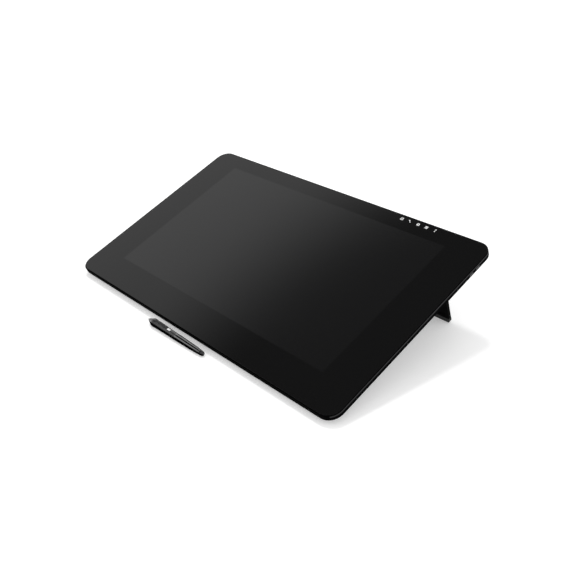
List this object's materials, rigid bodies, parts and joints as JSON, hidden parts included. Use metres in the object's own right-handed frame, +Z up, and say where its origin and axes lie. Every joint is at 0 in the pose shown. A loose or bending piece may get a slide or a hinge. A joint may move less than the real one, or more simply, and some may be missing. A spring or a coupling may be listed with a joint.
{
  "type": "graphics tablet with screen",
  "caption": "Flat pen display: glass front in a thin dark rim, fold-out rear legs, and a battery-free pen lying in front.",
  "frame": {"origin": "on the desk, under the middle of the bounding box of the tablet and its pen", "axes": "+X along the tablet's length, +Y towards its raised back edge, +Z up"},
  "size_m": [0.677, 0.3947, 0.1501],
  "materials": {
    "front_glass": "etched satin, black behind",
    "gasket": "matt",
    "circuit_board": "solder mask",
    "sensor_film": "clear film",
    "panel_glass": "dark panel",
    "light_guide": "white diffuser",
    "frame_metal": "black anodised",
    "steel_plate": "zinc plated",
    "brass_fittings": "plain",
    "ribbon": "polyimide film",
    "copper": "copper, tarnished",
    "fins": "plain",
    "fan_plastic": "matt",
    "rear_shell": "black, fine texture",
    "dark_screws": "black zinc",
    "foot_rubber": "matt",
    "steel_pin": "ground",
    "leg_metal": "black, fine texture",
    "socket_plastic": "matt",
    "socket_metal": "nickel plated",
    "cover_plastic": "fine texture",
    "button_plastic": "satin",
    "pen_shell": "satin",
    "pen_rubber": "soft touch",
    "ferrite": "matt",
    "nib_plastic": "matt",
    "switch_plastic": "satin"
  },
  "bodies": {
    "tablet": {"cover_glass": "front_glass", "glass_gasket": "gasket", "touch_key_board": "circuit_board", "touch_sensor": "sensor_film", "lcd_panel": "panel_glass", "backlight": "light_guide", "digitizer_board": "circuit_board", "mid_frame": "frame_metal", "shield_plate": "steel_plate", "board_standoffs": "brass_fittings", "main_board": "circuit_board", "panel_ribbons": "ribbon", "cold_plate": "copper", "heat_pipes": "copper", "heat_fins_left": "fins", "heat_fins_right": "fins", "fan_housing_left": "fan_plastic", "fan_housing_right": "fan_plastic", "rear_cover": "rear_shell", "case_screws": "dark_screws", "vesa_bracket": "steel_plate", "front_foot_left": "foot_rubber", "front_foot_right": "foot_rubber", "rear_foot_left": "foot_rubber", "rear_foot_right": "foot_rubber", "leg_pin_left": "steel_pin", "leg_pin_right": "steel_pin", "port_board": "circuit_board", "power_jack": "socket_plastic", "usb_socket": "socket_metal", "displayport_socket": "socket_metal", "hdmi_socket": "socket_metal", "side_ports_left": "socket_metal", "side_ports_right": "socket_metal", "headphone_jack": "socket_plastic", "button_board": "circuit_board"},
    "leg_left": {"leg_left": "leg_metal", "leg_pad_left": "foot_rubber"},
    "leg_right": {"leg_right": "leg_metal", "leg_pad_right": "foot_rubber"},
    "cable_cover": {"cable_cover": "cover_plastic"},
    "power_button": {"power_button": "button_plastic"},
    "touch_switch": {"touch_switch": "button_plastic"},
    "fan_rotor_left": {"fan_rotor_left": "fan_plastic"},
    "fan_rotor_right": {"fan_rotor_right": "fan_plastic"},
    "pen": {"pen_nose": "pen_shell", "pen_grip": "pen_rubber", "pen_barrel": "pen_shell", "pen_board": "circuit_board", "pen_coil": "ferrite"},
    "pen_nib": {"pen_nib": "nib_plastic"},
    "pen_switch": {"pen_switch": "switch_plastic"},
    "pen_eraser": {"pen_eraser": "switch_plastic"}
  },
  "joints": [
    {"name": "leg_left_fold", "type": "hinge", "parent": "tablet", "child": "leg_left", "pos_m": [-0.238, 0.1366, 0.09456], "axis": [-1, 0, 0], "range_deg": [0, 90.5]},
    {"name": "leg_right_fold", "type": "hinge", "parent": "tablet", "child": "leg_right", "pos_m": [0.238, 0.1366, 0.09456], "axis": [-1, 0, 0], "range_deg": [0, 90.5]},
    {"name": "cable_cover_pull", "type": "slide", "parent": "tablet", "child": "cable_cover", "axis": [0, 0.2872, -0.9579], "range_m": [0, 0.03]},
    {"name": "power_button_press", "type": "slide", "parent": "tablet", "child": "power_button", "axis": [0, -0.9397, -0.342], "range_m": [0, 0.0006], "stiffness_N_per_m": 1500, "springref_m": -0.0003},
    {"name": "touch_switch_slide", "type": "slide", "parent": "tablet", "child": "touch_switch", "axis": [-1, 0, 0], "range_m": [0, 0.005]},
    {"name": "fan_left_spin", "type": "hinge", "parent": "tablet", "child": "fan_rotor_left", "pos_m": [-0.13725, 0.13217, 0.11883], "axis": [0, -0.342, 0.9397], "continuous": true},
    {"name": "fan_right_spin", "type": "hinge", "parent": "tablet", "child": "fan_rotor_right", "pos_m": [0.13725, 0.13217, 0.11883], "axis": [0, -0.342, 0.9397], "continuous": true},
    {"name": "pen_lift", "type": "slide", "parent": "tablet", "child": "pen", "axis": [0, 0, 1], "range_m": [0, 0.2]},
    {"name": "nib_press", "type": "slide", "parent": "pen", "child": "pen_nib", "axis": [0.9998, 0.0112, -0.0185], "range_m": [0, 0.0012], "stiffness_N_per_m": 500, "springref_m": -0.0005},
    {"name": "side_switch_rock", "type": "hinge", "parent": "pen", "child": "pen_switch", "pos_m": [-0.04665, -0.18953, 0.01027], "axis": [-0.0112, 0.9999, 0], "range_deg": [-2, 2], "stiffness_Nm_per_rad": 0.05},
    {"name": "eraser_press", "type": "slide", "parent": "pen", "child": "pen_eraser", "axis": [-0.9998, -0.0112, 0.0185], "range_m": [0, 0.001], "stiffness_N_per_m": 500, "springref_m": -0.0005}
  ]
}
